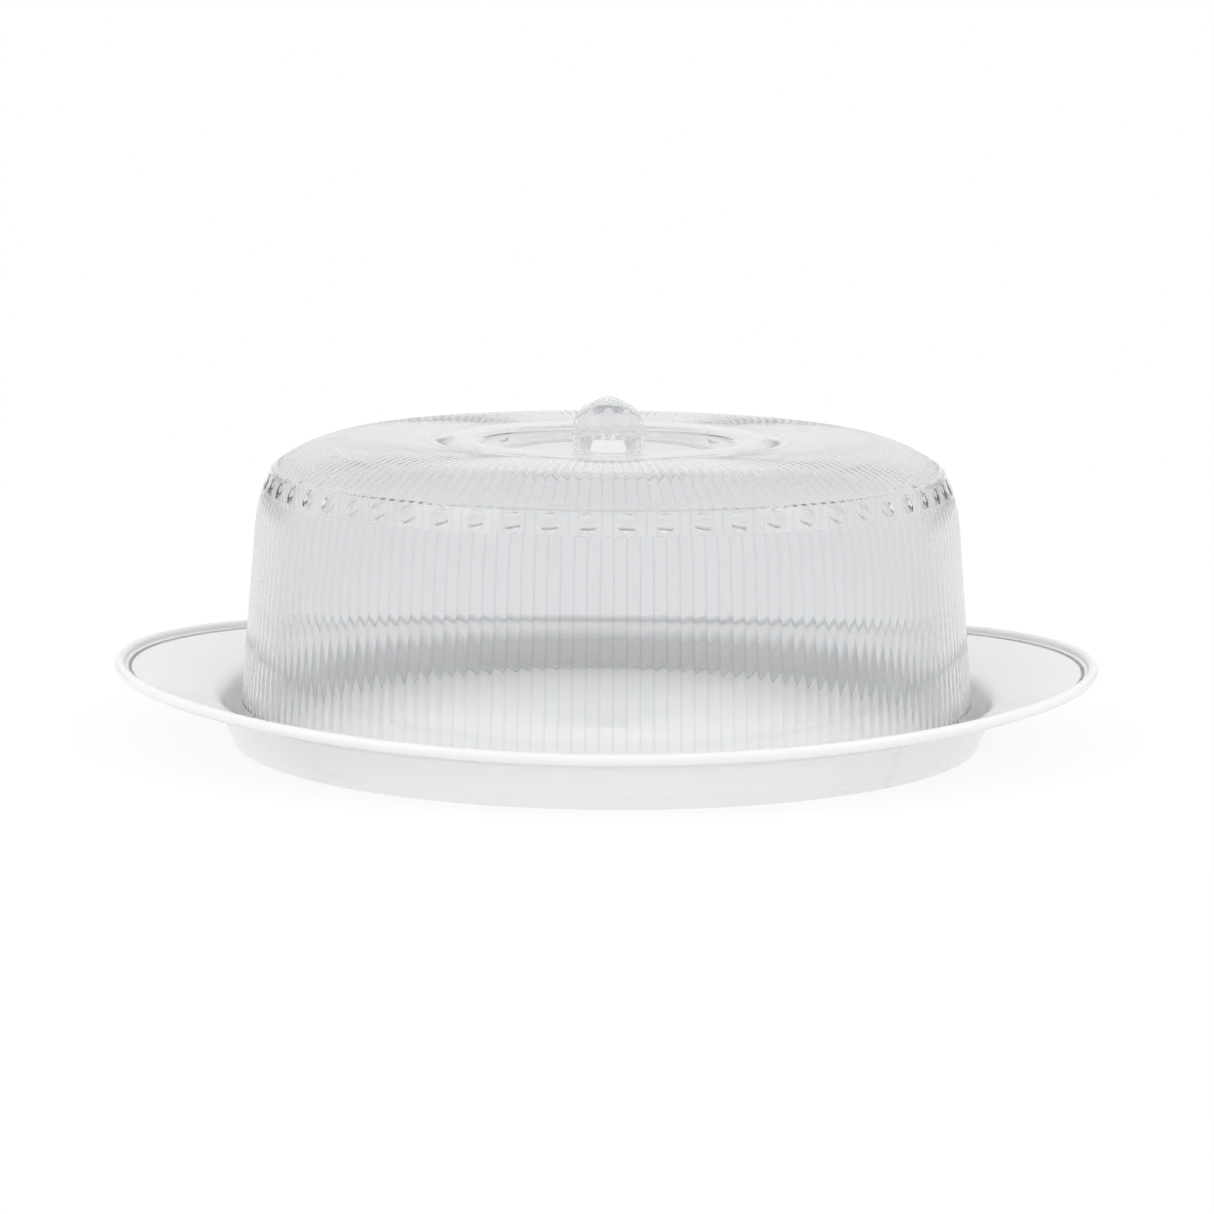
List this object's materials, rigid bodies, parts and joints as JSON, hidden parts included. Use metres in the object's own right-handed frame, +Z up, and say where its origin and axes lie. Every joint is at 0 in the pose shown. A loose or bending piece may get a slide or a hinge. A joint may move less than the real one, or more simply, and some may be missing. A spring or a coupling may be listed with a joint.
{
  "type": "cake plate with dome",
  "caption": "Round footed cake plate with an oval flange that forms two handles, under a clear reeded dome with a faceted ball knob.",
  "frame": {"origin": "centre of the foot ring, on the table", "axes": "+X along the handles, the longest way; +Y across them; +Z up, the axis of the well, the dome and the knob"},
  "size_m": [0.4006, 0.342, 0.1392],
  "materials": {
    "white_plastic": "glossy milky white moulding",
    "clear_plastic": "clear glossy moulded plastic",
    "clear_knob": "clear plastic with polished facets"
  },
  "bodies": {
    "root": {"plate": "white_plastic", "dome": "clear_plastic", "knob": "clear_knob"}
  },
  "joints": []
}
